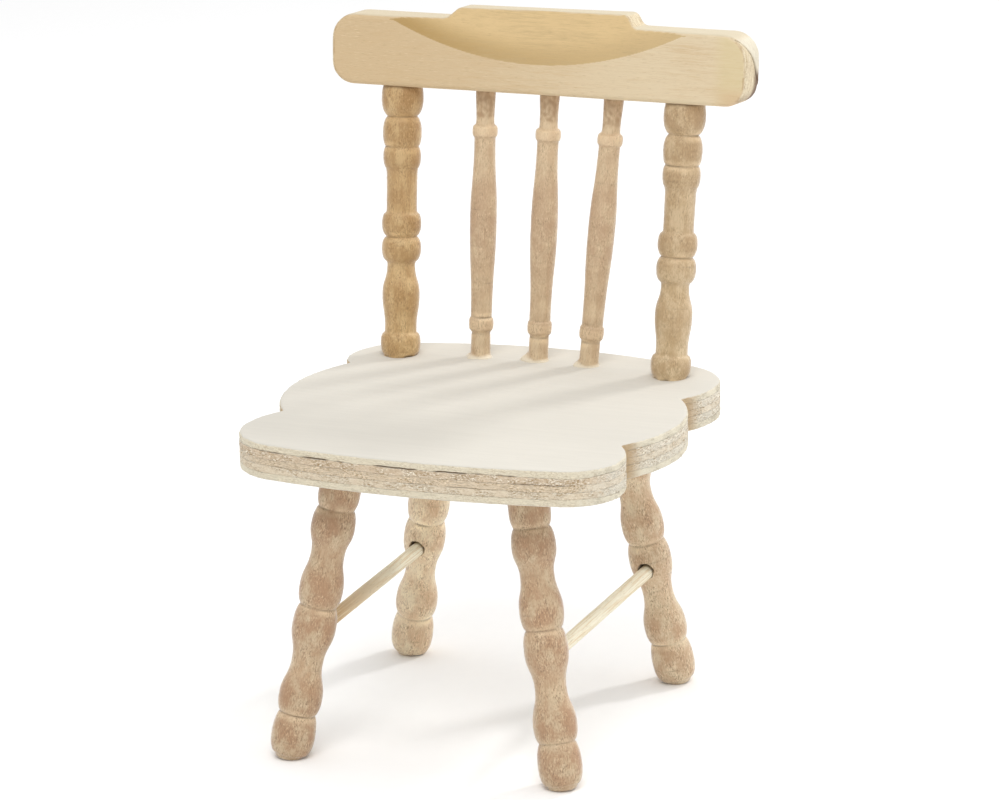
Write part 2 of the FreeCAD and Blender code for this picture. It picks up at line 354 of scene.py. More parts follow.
# Where the right-hand end's softer colours begin and are full, in mm from the middle
END_MARGIN = (25.5, 28.0)


def rail_wood():
    """Solid rail with its grain along x, golden where the scoop cuts across the layers.

    It is painted darker towards its left end, as shade.
    """
    pale, deep = (0.70, 0.575, 0.39), (0.585, 0.42, 0.235)
    wood = Wood("bare_rail_wood")
    fibre = wood.noise((2.6, 0.13, 0.13), 5.0, detail=4.0, roughness=0.7)
    streak = wood.noise((9.0, 0.45, 0.45), 9.0, detail=3.0, roughness=0.6)
    pore = wood.noise((1.1, 0.10, 0.10), 13.0, detail=1.0)
    blotch = wood.noise((12.0, 5.0, 5.0), 19.0, detail=2.0)
    along, _, above = wood.add("ShaderNodeSeparateXYZ", {0: wood.spot}).outputs
    # Painted shade: leftness darkens the rail and its scoop towards the left end.
    leftness = wood.between(along, 24 * MM, -26 * MM)

    tone = wood.total((fibre, 0.5), (streak, 0.3), (blotch, 0.3))
    base = wood.mix(wood.times(leftness, 0.75), pale, deep)
    colour = wood.mix(wood.between(tone, 0.5, 0.75, 0.0, 0.7), base, deep)
    colour = wood.mix(wood.between(pore, 0.62, 0.76, 0.0, 0.45), colour, scaled(deep, 0.7))
    colour = wood.mix(wood.between(pore, 0.40, 0.26, 0.0, 0.35), colour, scaled(pale, 1.15))
    colour = wood.mix(wood.attribute("scoop"), colour, scoop_colour(wood, tone, pore, leftness))
    colour = with_soft_margins(wood, colour, along, above)
    colour = with_rail_end(wood, colour)
    # Painted shade: the open split in the right-hand end is painted near black.
    colour = wood.mix(wood.attribute("groove"), colour, (0.13, 0.085, 0.05))
    height = wood.total((fibre, 1.0), (pore, -0.5))
    return wood.finish(colour, wood.between(fibre, 0.3, 0.7, 0.55, 0.78), height, 0.04)


def scoop_colour(wood, tone, pore, leftness):
    """Gold, richer at the scoop's rim, and painted darker towards the left as shade."""
    gold = (0.61, 0.445, 0.23)
    rich = wood.mix(wood.times(leftness, 0.9), scaled(gold, 0.95), (0.41, 0.26, 0.09))
    colour = wood.mix(wood.attribute("scoop_depth"), rich, scaled(gold, 1.1))
    colour = wood.mix(wood.between(tone, 0.5, 0.75, 0.0, 0.8), colour, scaled(gold, 0.82))
    return wood.mix(wood.between(pore, 0.62, 0.76, 0.0, 0.4), colour, scaled(gold, 0.7))


def with_soft_margins(wood, colour, along, above):
    """The colour with a paler top, painted light from above, a yellow right-hand margin
    and a tan lower corner.
    """
    start, full = (length * MM for length in END_MARGIN)
    # Painted light: faces turned up are painted paler and greyer.
    top = wood.between(wood.direction()[2], 0.6, 0.9, 0.0, 0.75)
    colour = wood.mix(top, colour, (0.59, 0.53, 0.40))
    margin = wood.times(wood.between(along, start, full),
                        wood.between(wood.direction()[1], -0.8, -0.95, 0.0, 0.55))
    colour = wood.mix(margin, colour, (0.655, 0.54, 0.30))
    corner = wood.times(wood.between(along, start, full + 0.5 * MM),
                        wood.between(above, -2.6 * MM, -4.6 * MM, 0.0, 0.5))
    return wood.mix(corner, colour, (0.62, 0.42, 0.25))


def with_rail_end(wood, colour):
    """The colour with end grain on the two ends, and patchy darker brown on the front rounding.
    """
    streak = wood.noise((1.0, 0.16, 1.6), 23.0, detail=3.0, roughness=0.7, distortion=0.5)
    pore = wood.noise((0.3, 0.12, 0.16), 29.0, detail=1.0)
    end = wood.mix(wood.between(streak, 0.40, 0.60), (0.80, 0.705, 0.515), (0.60, 0.475, 0.30))
    end = wood.mix(wood.between(pore, 0.56, 0.68, 0.0, 0.7), end, (0.34, 0.22, 0.12))
    end = wood.mix(wood.times(wood.attribute("behind"), 0.6), end, (0.74, 0.71, 0.61))
    # Bark low on the right-hand end, and painted shade on its faces turned down.
    end = wood.mix(wood.attribute("bark_and_shade"), end, (0.20, 0.13, 0.085))
    # Darker brown in patches where the front face rounds over into each end.
    endness = wood.math("ABSOLUTE", wood.direction()[0])
    edge = wood.times(wood.between(endness, 0.22, 0.42), wood.between(endness, 0.8, 0.5))
    edge = wood.times(edge, wood.between(wood.direction()[1], -0.05, -0.3))
    colour = wood.mix(wood.between(endness, 0.35, 0.7), colour, end)
    edge_patches = wood.between(wood.noise((1.2, 1.2, 1.2), 37.0), 0.42, 0.62, 0.05, 0.75)
    return wood.mix(wood.times(edge, edge_patches), colour, (0.46, 0.31, 0.17))


# ---------------------------------------------------------------- the plies' wood

CREAM = (0.65, 0.622, 0.56)
# NOTCH_SHADE_TAN is painted shade on the rims in the seat's notches.
NOTCH_SHADE_TAN, TORN_BROWN = (0.46, 0.32, 0.175), (0.37, 0.25, 0.125)
# Painted shade inside opened glue lines
CRACK_SHADE_COLOUR = (0.24, 0.15, 0.07)


def ply_wood(name, grain_axis, long_grain, end_grain, shift, torn):
    """One ply: sanded face, and rims that show long grain or end grain by which way they face.

    torn is how strongly the saw has torn the rims into pits and tufts.
    """
    wood = Wood(name)
    direction = wood.direction()
    lengths = [0.13, 0.13, 0.10]
    lengths[grain_axis] = 3.0
    fibre = wood.noise(lengths, shift, detail=3.0, roughness=0.65)
    # The same in every ply, so that the torn places run on across the glue lines
    cell = wood.noise((0.36, 0.36, 0.17), 7.0, detail=3.0, roughness=0.75)
    patch = wood.noise((2.4, 2.4, 1.1), 11.0, detail=2.0)

    rim_long = wood.mix(wood.between(fibre, 0.38, 0.64), scaled(long_grain, 1 + 0.1 * torn),
                        scaled(long_grain, 1 - 0.2 * torn))
    rim_end = wood.mix(wood.between(patch, 0.40, 0.64), scaled(end_grain, 1.08),
                       scaled(end_grain, 0.88))
    endness = wood.math("ABSOLUTE", direction[grain_axis])
    rim = wood.mix(wood.between(endness, 0.35, 0.8), rim_long, rim_end)
    rim = torn_rim(wood, rim, long_grain, cell, patch, torn)
    # Painted shade: the rim is painted tan in the seat's re-entrant notches.
    rim = wood.mix(wood.attribute("corner"), rim, NOTCH_SHADE_TAN)
    flatness = wood.math("ABSOLUTE", direction[2])
    face = face_colour(wood, fibre, grain_axis, shift)
    colour = wood.mix(wood.between(flatness, 0.45, 0.85), rim, face)
    # Painted shade: opened glue lines are painted dark, the more the deeper they open.
    colour = wood.mix(wood.attribute("crack"), colour, CRACK_SHADE_COLOUR)
    rim_share = wood.between(flatness, 0.9, 0.5, 0.12, 1.0)
    height = wood.times(wood.math("ADD", cell, fibre), rim_share)
    return wood.finish(colour, wood.between(cell, 0.3, 0.7, 0.7, 0.9), height, 0.07,
                       specular=0.08)


def face_colour(wood, fibre, grain_axis, shift):
    """Sanded cream face with faint streaks and a slow haze."""
    lengths = [0.6, 0.6, 0.4]
    lengths[grain_axis] = 14.0
    streak = wood.noise(lengths, shift + 3, detail=2.0)
    haze = wood.noise((16.0, 16.0, 16.0), shift + 15, detail=2.0)
    tone = wood.total((fibre, 0.45), (streak, 0.4), (haze, 0.6))
    return wood.mix(wood.between(tone, 0.45, 1.0), scaled(CREAM, 1.02), scaled(CREAM, 0.95))


def torn_rim(wood, rim, long_grain, cell, patch, torn):
    """The rim's colour with brown pits, pale tufts and level creases."""
    torn_place = wood.between(patch, 0.38, 0.62, 0.25 * torn, torn)
    pits = wood.times(wood.between(cell, 0.52, 0.63, 0.0, 0.9), torn_place)
    rim = wood.mix(pits, rim, TORN_BROWN)
    tufts = wood.times(wood.between(cell, 0.48, 0.37, 0.0, 0.9), torn_place)
    rim = wood.mix(tufts, rim, scaled(long_grain, 1.3))
    crease = wood.noise((0.9, 0.9, 0.09), 9.0, detail=3.0, roughness=0.6)
    rim = wood.mix(wood.between(crease, 0.58, 0.68, 0.0, 0.6 * torn), rim, TORN_BROWN)
    return wood.mix(wood.between(crease, 0.42, 0.32, 0.0, 0.5), rim, scaled(long_grain, 1.25))


def seat_woods():
    """The plies' woods from the bottom up; the outer veneers share one, grain along x."""
    face = ply_wood("face_veneer_wood", 0, (0.715, 0.645, 0.50), (0.72, 0.665, 0.535),
                    shift=3.0, torn=0.5)
    upper = ply_wood("upper_crossband_wood", 1, (0.73, 0.67, 0.56), (0.615, 0.495, 0.36),
                     shift=33.0, torn=1.3)
    lower = ply_wood("lower_crossband_wood", 1, (0.70, 0.65, 0.545), (0.67, 0.57, 0.43),
                     shift=93.0, torn=1.0)
    core = ply_wood("core_veneer_wood", 0, (0.65, 0.54, 0.40), (0.72, 0.65, 0.53),
                    shift=63.0, torn=1.2)
    return face, lower, core, upper, face


# ---------------------------------------------------------------- turned pieces

SEGMENTS = 84
RING_GAP = 0.13 * MM
# How far from the axis the rays that measure a piece set out
REACH = 12 * MM
TOOL_LINE_GAP = 5.5 * MM
GROOVE_DEPTH = 0.10 * MM
SCRATCH_DEPTH = 0.05 * MM


def cross_section(tree, centre, axis):
    """Where rays shot at the axis from all round first meet the surface."""
    side = axis.orthogonal().normalized()
    up = axis.cross(side)
    hits = []
    count = 24
    for turn in range(count):
        angle = 2 * math.pi * turn / count
        out = side * math.cos(angle) + up * math.sin(angle)
        hit = tree.ray_cast(centre + out * REACH, -out, REACH)[0]
        hits.append(hit if hit is not None else centre)
    return hits


def turning_axis(node):
    """A point on the piece's axis and the direction of the axis.

    Every normal of a turned surface points at its axis, so the axis is the line that
    passes nearest to all of them; faces of bored holes and flats are dropped as strays.
    """
    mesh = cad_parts[node].data
    spots = np.array([face.center for face in mesh.polygons]) / MM
    normals = np.array([face.normal for face in mesh.polygons])
    weights = np.sqrt([face.area for face in mesh.polygons])
    middle = spots.mean(0)
    rows = np.hstack([np.cross(spots - middle, normals), normals])
    keep = np.ones(len(rows), bool)
    for _ in range(6):
        line = np.linalg.svd(rows[keep] * weights[keep, None], full_matrices=False)[2][5]
        axis, moment = line[:3], line[3:]
        length = np.linalg.norm(axis)
        axis, moment = axis / length, moment / length
        misses = np.abs(rows @ np.hstack([axis, moment]))
        keep = misses < max(0.02, 3 * np.median(misses[keep]))
    axis = axis if axis[2] > abs(axis[1]) or axis[1] > 0 else -axis
    moment = moment if axis @ line[:3] > 0 else -moment
    point = middle + np.cross(axis, moment)
    return Vector(point) * MM, Vector(axis)


def reach_along(node, middle, axis):
    """Where a piece starts and ends along its axis, from the middle point."""
    reach = [(v.co - middle).dot(axis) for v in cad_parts[node].data.vertices]
    return min(reach), max(reach)


def along_axis(middle, axis):
    """The place of a piece that was drawn about its own z."""
    return Matrix.Translation(middle) @ axis.to_track_quat("Z", "Y").to_matrix().to_4x4()


def turned_profile(node):
    """The axis, and evenly spaced stations along it with the radius at each."""
    tree = solid_tree(node)
    middle, axis = turning_axis(node)
    start, end = reach_along(node, middle, axis)
    count = int((end - start) / RING_GAP)
    stations = np.linspace(start + 0.01 * MM, end - 0.01 * MM, count)
    radii = []
    for station in stations:
        centre = middle + axis * float(station)
        radii.append(max((hit - centre).length for hit in cross_section(tree, centre, axis)))
    return middle, axis, stations, np.array(radii)


def groove_stations(stations, radii):
    """Stations where the outline dips to a sharp V, as a parting tool leaves it."""
    span = max(3, int(0.55 * MM / RING_GAP))
    found = []
    for i in range(2 * span, len(radii) - 2 * span):
        dip = (radii[i - span] + radii[i + span]) / 2 - radii[i]
        if dip > 0.075 * MM and radii[i] == radii[i - span:i + span + 1].min():
            found.append(stations[i])
    return found


def bead_heights(radii):
    """How far each station stands out beyond those a little above and below it."""
    span = int(1.3 * MM / RING_GAP)
    padded = np.pad(radii, span, mode="edge")
    return radii - (padded[:-2 * span] + padded[2 * span:]) / 2


def tool_lines(stations, seed):
    """Places of the fine rings that the turning tool's corner has scratched."""
    count = int((stations[-1] - stations[0]) / TOOL_LINE_GAP)
    strays = [0.45 * speckle((k, 0, 0), (0.37,) * 3, seed) for k in range(count)]
    return [stations[0] + TOOL_LINE_GAP * (k + 0.5 + stray) for k, stray in enumerate(strays)]


def nearest(station, others):
    """How far off the nearest of some other stations is; a metre when there are none."""
    return min((abs(station - other) for other in others), default=1.0)


def tool_cuts(here, groove_gap, scratch_gap, seed):
    """From 0 to 1, how deep a groove and a scratch are here, and how evenly both are cut."""
    evenness = 0.45 + 1.2 * speckle(here, (1.6 * MM,) * 3, seed + 5)
    groove = smooth_step(groove_gap, 0.22 * MM, 0.02 * MM) * clamped(evenness, 0.1, 1.0)
    broken = 0.1 + 1.4 * speckle(here, (2.2 * MM,) * 3, seed + 7)
    scratch = 0.5 * smooth_step(scratch_gap, 0.14 * MM, 0.02 * MM) * max(0.0, broken)
    return groove, scratch, evenness


def raised_grain(here, seed):
    """Slow wobble of the surface and the fine fibres standing on it."""
    wobble = 0.035 * MM * speckle(here, (5 * MM, 5 * MM, 7 * MM), seed + 9)
    return wobble + 0.018 * MM * speckle(here, (0.3 * MM, 0.3 * MM, 1.2 * MM), seed + 13)


def glue_collar(around, leftness, rise, collar, seed):
    """Glue squeezed out at the foot: how far the surface is glue, and how thick it stands."""
    rim = max(0.15, 0.55 + 0.8 * speckle(around, (0.9,) * 3, seed + 21))
    rim *= 0.5 + 1.1 * max(0.0, leftness)
    glue = smooth_step(rise, (0.3 + 0.9 * rim) * MM, 0.0)
    return glue, collar * rim * glue * glue


def worn_foot(around, rise, worn, seed):
    """Broken lower rim: how much is missing, and how dark the painted shade in its gap is."""
    rim = max(0.0, 0.1 + 1.7 * speckle(around, (0.5,) * 3, seed + 23))
    missing = worn * rim * smooth_step(rise, 0.45 * MM, 0.1 * MM)
    return missing, min(1.0, 1.4 * rim) * smooth_step(rise, 0.4 * MM, 0.1 * MM)


def brown_end(here, rail_gap, browned, seed):
    """How dark the stain is on a thin piece's end, at this distance from the rail."""
    stain = 0.5 + 0.9 * speckle(here, (0.5 * MM, 0.5 * MM, 0.6 * MM), seed + 25)
    return clamped(stain, 0.2, 0.85) * smooth_step(rail_gap, browned, 0.8 * browned)


def at_foot(around, leftness, rise, collar, worn, seed):
    """Where the piece meets the seat: radius gained or lost, its glue, and painted gap shade."""
    if collar:
        glue, thickness = glue_collar(around, leftness, rise, collar, seed)
        return thickness, glue, 0.0
    if worn:
        # A worn rim's darkening is painted shade in the gap under it.
        missing, gap_shade = worn_foot(around, rise, worn, seed)
        return -missing, 0.0, gap_shade
    return 0.0, 0.0, 0.0


def at_rail(spot, here, rail, browned, seed):
    """Where the piece meets the rail: grime with painted contact shade, and its stain."""
    if rail is None:
        return 0.0, 0.0
    gap = rail.find_nearest(spot)[3]
    stain = brown_end(here, gap, browned, seed) if browned else 0.0
    # Darker within half a millimetre of the rail: grime and painted contact shade.
    return 0.9 * smooth_step(gap, 0.5 * MM, 0.1 * MM), stain


def paleness(lip, swell, evenness, bead):
    """How pale the wood is: most beside a groove, in a waist, and on a thin piece's beads."""
    pale = (0.65 * lip + 0.3 * (1 - swell)) * clamped(evenness, 0.2, 1.0)
    return max(pale, 0.5 * smooth_step(bead, 0.05 * MM, 0.2 * MM))


def turned_mesh(name, node, seed, tone=(0.0, 0.0), floor=-math.inf, ceiling=math.inf,
                collar=0.0, worn=0.0, rail=None, browned=0.0):
    """A lathe-turned piece with tool rings, raised fibres and incised grooves.

    tone is how far the wood takes its other shade, from the start of the axis to its end.
    The piece is cut off flat at floor and ceiling. A collar of squeezed-out glue, or a worn
    lower rim with painted shade in its gap, goes where it meets the seat, and grime with
    painted contact shade where it meets the rail. browned is how far below the rail a thin
    piece is stained; its beads are pale.
    """
    middle, axis, stations, radii = turned_profile(node)
    grooves = groove_stations(stations, radii)
    scratches = tool_lines(stations, seed)
    place = along_axis(middle, axis)
    turn, into = place.to_3x3(), place.inverted()
    directions = directions_round(SEGMENTS)
    widest, narrowest = radii[2:-2].max(), radii[2:-2].min()
    points = []
    marks = {"groove": [], "glue": [], "swell": [], "pale": [], "stain": []}
    for station, radius, bead in zip(stations, radii, bead_heights(radii)):
        swell = max(0.0, (radius - narrowest) / (widest - narrowest + 0.1 * MM))
        groove_gap, scratch_gap = nearest(station, grooves), nearest(station, scratches)
        lip = smooth_step(groove_gap, 1.1 * MM, 0.3 * MM)
        ring = 0.014 * MM * speckle((0, 0, station), (1, 1, 0.42 * MM), seed)
        up = Vector((0, 0, station))
        for around in directions:
            here = around * radius + up
            groove, scratch, evenness = tool_cuts(here, groove_gap, scratch_gap, seed)
            grown = radius + ring + raised_grain(here, seed)
            grown -= GROOVE_DEPTH * groove + SCRATCH_DEPTH * scratch
            rise = (place @ (around * grown + up)).z - SEAT_TOP
            gain, glue, foot_shade = at_foot(around, -(turn @ around).x, rise, collar, worn, seed)
            spot = place @ (around * (grown + gain) + up)
            spot.z = clamped(spot.z, floor, ceiling)
            rail_grime_and_shade, stain = at_rail(spot, here, rail, browned, seed)
            points.append(into @ spot)
            # The groove mark is painted shade: grooves, scratches, a worn foot's gap, and the
            # rail joint with its grime.
            marks["groove"].append(min(1.0, max(groove, scratch, foot_shade, rail_grime_and_shade)))
            marks["glue"].append(0.85 * glue)
            marks["swell"].append(swell)
            marks["pale"].append(paleness(lip, swell, evenness, bead if browned else 0.0))
            marks["stain"].append(stain)
    rows = len(stations)
    marks["tone"] = np.repeat(np.linspace(*tone, rows), SEGMENTS)
    mesh = bpy.data.meshes.new(name)
    mesh.from_pydata(points, [], tube_faces(rows, SEGMENTS))
    mesh.shade_smooth()
    for mark, values in marks.items():
        store(mesh, mark, values)
    return mesh, place


# ---------------------------------------------------------------- sockets of the stretchers

SOCKET_RADIUS = 1.2 * MM
STRETCHER_RADIUS = 0.95 * MM
SOCKET_RUN = 5 * MM


def socket_cutter(stretcher):
    """Ragged plug that bores the loose hole where a stretcher enters its back leg."""
    middle, axis = turning_axis(stretcher)
    end = reach_along(stretcher, middle, axis)[1]
    place = along_axis(middle, axis)
    rise = Vector((0, 0, SOCKET_RADIUS - STRETCHER_RADIUS))
    rows, count = 26, 64
    points = []
    for row in range(rows):
        up = Vector((0, 0, end - SOCKET_RUN + SOCKET_RUN * row / (rows - 1)))
        for around in directions_round(count):
            here = around * SOCKET_RADIUS + up
            torn = 0.09 * MM * speckle(here, (0.35 * MM, 0.35 * MM, 0.5 * MM), 41.0)
            torn += 0.05 * MM * speckle(here, (0.9 * MM,) * 3, 43.0)
            points.append(place @ (around * (SOCKET_RADIUS + torn) + up) + rise)
    mesh = bpy.data.meshes.new("socket_cutter")
    mesh.from_pydata(points, [], tube_faces(rows, count))
    return link("socket_cutter", mesh)


def bored(mesh, place, cutter):
    """The mesh with the cutter's hole in it."""
    blank = link("blank", mesh)
    blank.matrix_world = place
    cut = blank.modifiers.new("bore", "BOOLEAN")
    cut.operation = "DIFFERENCE"
    cut.solver = "EXACT"
    cut.object = cutter
    result = evaluated_mesh(blank)
    bpy.data.objects.remove(blank)
    bpy.data.objects.remove(cutter)
    result.shade_smooth()
    return result


# ---------------------------------------------------------------- seat plies

RIM_GAP = 0.16 * MM
# Heights of a ply's rim rings as shares of its thickness, crowded towards the glue lines
RIM_SHARES = (0.0, 0.05, 0.12, 0.22, 0.36, 0.5, 0.64, 0.78, 0.88, 0.95, 0.985, 1.0)
# How far the crossbands stand out, and the other plies are set back
PROUD = 0.025 * MM
FACE_MARGIN = 0.3 * MM
# Radii of the sanded edges of the board's two faces
TOP_ROUNDING, BOTTOM_ROUNDING = 0.38 * MM, 0.28 * MM


def seat_outline():
    """Evenly spaced points round the seat, and the outward direction at each."""
    low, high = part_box("seat_core")
    tree = solid_tree("seat_core")
    height = (low.z + high.z) / 2
    far = 60 * MM
    coarse = []
    for out in directions_round(3600):
        hit = tree.ray_cast(out * far + Vector((0, 0, height)), -out, far)[0]
        coarse.append((hit.x, hit.y))
    coarse = np.array(coarse + coarse[:1])
    steps = np.hypot(*np.diff(coarse, axis=0).T)
    run = np.concatenate([[0], np.cumsum(steps)])
    count = int(run[-1] / RIM_GAP)
    even = np.linspace(0, run[-1], count, endpoint=False)
    line = np.stack([np.interp(even, run, coarse[:, k]) for k in (0, 1)], 1)
    ahead = np.roll(line, -2, 0) - np.roll(line, 2, 0)
    out = np.stack([ahead[:, 1], -ahead[:, 0]], 1)
    return line, out / np.linalg.norm(out, axis=1)[:, None]


# Where the glue lines have opened along the front: (from x, to x, depth) in mm, by the
# number of the ply below the line
OPEN_LINES = {
    3: ((-23.0, -17.5, 0.10), (-15.3, -10.6, 0.30), (-10.2, -8.2, 0.18), (-4.6, 2.2, 0.30),
        (4.0, 9.2, 0.28), (9.2, 11.6, 0.14), (12.6, 15.8, 0.20)),
    2: ((14.3, 23.2, 0.12), (-12.0, -8.5, 0.06)),
    1: ((5.5, 12.0, 0.06),),
}
# The seat's front edge lies wholly in front of this
FRONT_EDGE_Y = -20 * MM


def open_depth(line_number, x, y):
    """How deep the glue line above a ply has opened at a place on the rim, in metres."""
    depth = 0.0
    if y < FRONT_EDGE_Y:
        for start, end, most in OPEN_LINES.get(line_number, ()):
            inside = smooth_step(x, start * MM, (start + 1.2) * MM)
            inside *= smooth_step(x, end * MM, (end - 1.2) * MM)
            depth = max(depth, most * MM * inside)
    raggedness = 0.75 + 0.5 * speckle((x, y, line_number * MM), (0.7 * MM,) * 3, 3.0)
    return depth * raggedness


def notch_shade_marks(line, out):
    """For each outline point, 0 to 0.8: how near it is to a re-entrant corner, for painted
    shade.
    """
    ahead, behind = np.roll(out, -3, 0), np.roll(out, 3, 0)
    turning = behind[:, 0] * ahead[:, 1] - behind[:, 1] * ahead[:, 0]
    corners = line[turning < -0.25]
    away = np.array([np.hypot(*(corners - spot).T).min() for spot in line])
    return [0.8 * smooth_step(distance, 3.2 * MM, 0.2 * MM) for distance in away]


def line_wander(line_number, x, y):
    """How far a glue line strays up or down from level; the board's two faces are level."""
    if line_number < 0 or line_number == len(PLIES) - 1:
        return 0.0
    slow = 0.13 * MM * speckle((x, y, line_number * 5 * MM), (5 * MM,) * 3, 31.0)
    return slow + 0.05 * MM * speckle((x, y, line_number * 5 * MM), (0.9 * MM,) * 3, 37.0)


def glue_lines_beside(number, share):
    """The glue lines above and below a ply, each with how near a rim ring is to it."""
    lines = ((number, smooth_step(share, 0.88, 0.98)),
             (number - 1, smooth_step(share, 0.12, 0.02)))
    return [(line, nearness) for line, nearness in lines if 0 <= line < len(PLIES) - 1]


def face_rounding(number, share):
    """How far the sanded edges of the board's two faces set a rim ring back."""
    if number == len(PLIES) - 1:
        radius, over = TOP_ROUNDING, max(0.0, (share - 0.62) / 0.38)
    elif number == 0:
        radius, over = BOTTOM_ROUNDING, max(0.0, (0.3 - share) / 0.3)
    else:
        return 0.0
    return radius * (1 - math.sqrt(1 - over * over))


def rim_inset(number, share, place, out):
    """How far a ply's rim is set back here, and how dark an open glue line's painted shade is.
    """
    x, y, _ = place
    end_share = abs(out[1]) if number in CROSSBANDS else abs(out[0])
    inset = (0.05 + 0.06 * end_share) * MM
    inset *= speckle(place, (0.34 * MM, 0.34 * MM, 0.2 * MM), number)
    inset += 0.05 * MM * speckle(place, (1.6 * MM, 1.6 * MM, 0.9 * MM), number + 7)
    inset += PROUD * (-1) ** number * (0.5 + 0.5 * speckle(place, (4 * MM,) * 3, 51.0))
    crack = 0.0
    for line, nearness in glue_lines_beside(number, share):
        opened = open_depth(line, x, y)
        inset += nearness * (opened + 0.012 * MM)
        crack = max(crack, nearness * min(1, opened / (0.2 * MM)))
    return inset + face_rounding(number, share), crack


def add_faces(mesh, columns, out, low, high):
    """Closes a ply's rim with its two flat faces, which start with a narrow ring of quads."""
    work = bmesh.new()
    work.from_mesh(mesh)
    work.verts.ensure_lookup_table()
    for ring, level, up in ((work.verts[:columns], low, -1), (work.verts[-columns:], high, 1)):
        inner = [work.verts.new((v.co.x - nx * FACE_MARGIN, v.co.y - ny * FACE_MARGIN, level))
                 for v, (nx, ny) in zip(ring, out)]
        for k in range(columns):
            ahead = (k + 1) % columns
            work.faces.new((ring[k], ring[ahead], inner[ahead], inner[k]))
        edges = [work.edges.get((inner[k], inner[(k + 1) % columns])) for k in range(columns)]
        bmesh.ops.triangle_fill(work, edges=edges, use_beauty=True, normal=(0, 0, up))
    bmesh.ops.recalc_face_normals(work, faces=work.faces)
    work.to_mesh(mesh)
    work.free()


def ply_mesh(name, number, line, out):
    """One ply with a torn, uneven rim; glue lines above and below it may have opened."""
    low, high = (corner.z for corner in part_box(PLIES[number]))
    points, cracks = [], []
    for share in RIM_SHARES:
        for (x, y), outward in zip(line, out):
            z_low = low + line_wander(number - 1, x, y)
            z_high = high + line_wander(number, x, y)
            z = z_low + share * (z_high - z_low)
            inset, crack = rim_inset(number, share, (x, y, z), outward)
            points.append((x - outward[0] * inset, y - outward[1] * inset, z))
            cracks.append(crack)
    mesh = bpy.data.meshes.new(name)
    mesh.from_pydata(points, [], grid_faces(len(RIM_SHARES), len(line)))
    store(mesh, "crack", cracks)
    # The corner mark carries painted shade in the notches.
    store(mesh, "corner", notch_shade_marks(line, out) * len(RIM_SHARES))
    add_faces(mesh, len(line), out, low, high)
    mesh.shade_smooth()
    return mesh


# ---------------------------------------------------------------- crest rail

RAIL_TILT = math.radians(5)
# How much of the rail's half length the scoop takes up
SCOOP_SPAN = 0.715
# The split in the right-hand end runs from the upper front edge to the lower back: its
# height and depth, in mm from the middle of the rail
SPLIT_HEIGHTS = (-4.5, -2.8, -1.7, -0.2, 1.9, 3.7)
SPLIT_DEPTHS = (3.1, 2.4, 1.7, 0.9, -1.4, -3.0)
SPLIT_CUT = 0.3 * MM


def even_copy(name, node, place):
    """A CAD node's shape in the frame of `place`, made of small even faces."""
    copy = link(name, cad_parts[node].data.copy())
    copy.data.transform(place.inverted())
    remesh = copy.modifiers.new("even", "REMESH")
    remesh.mode = "VOXEL"
    remesh.voxel_size = 0.16 * MM
    mesh = evaluated_mesh(copy)
    mesh.name = name
    bpy.data.objects.remove(copy)
    return mesh


def scoop_marks(spot, normal, front, half):
    """How surely a place is in the scoop, and how far behind the rail's front it lies."""
    facing = smooth_step(-normal.y, 0.9, 0.94)
    tipped = smooth_step(normal.z, 0.13, 0.2) * smooth_step(normal.z, 0.6, 0.5)
    inside = facing * tipped if abs(spot.x) < SCOOP_SPAN * half else 0.0
    return inside, smooth_step(spot.y - front, 0.1 * MM, 1.3 * MM)


def end_marks(spot, normal, half):
    """On the right-hand end: the open split, the wood behind it, and bark low down.

    The split, and faces turned down near the end, are painted dark as shade.
    """
    right_end = smooth_step(normal.x, 0.3, 0.7) * smooth_step(spot.x, 0.85 * half, 0.9 * half)
    split_y = np.interp(spot.z / MM, SPLIT_HEIGHTS, SPLIT_DEPTHS) * MM
    past = spot.y - split_y - 0.12 * MM * speckle(spot, (0.8 * MM,) * 3, 17.0)
    width = (0.08 + 0.12 * smooth_step(spot.z, 3 * MM, -2 * MM)) * MM
    split = smooth_step(abs(past), 1.9 * width, 0.5 * width) * right_end
    behind = smooth_step(past, 0.0, 0.5 * MM) * right_end
    low_back = smooth_step(spot.z, -0.6 * MM, -2.2 * MM) * smooth_step(spot.y, 0, 1.6 * MM)
    # Painted shade on the faces turned down at the right-hand end.
    under = smooth_step(-normal.z, 0.3, 0.8) * smooth_step(spot.x, 0.9 * half, 0.97 * half)
    return split, behind, max(low_back * right_end, 0.45 * under)


def rail_grain(spot, normal):
    """Raised grain, fine along the faces and coarser on the two ends."""
    lift = 0.012 * MM * speckle(spot, (3 * MM, 0.25 * MM, 0.25 * MM), 3.0)
    lift += 0.03 * MM * speckle(spot, (9 * MM, 4 * MM, 4 * MM), 5.0)
    end = smooth_step(abs(normal.x), 0.5, 0.85)
    return lift + 0.045 * MM * end * speckle(spot, (0.4 * MM, 0.22 * MM, 0.9 * MM), 9.0)


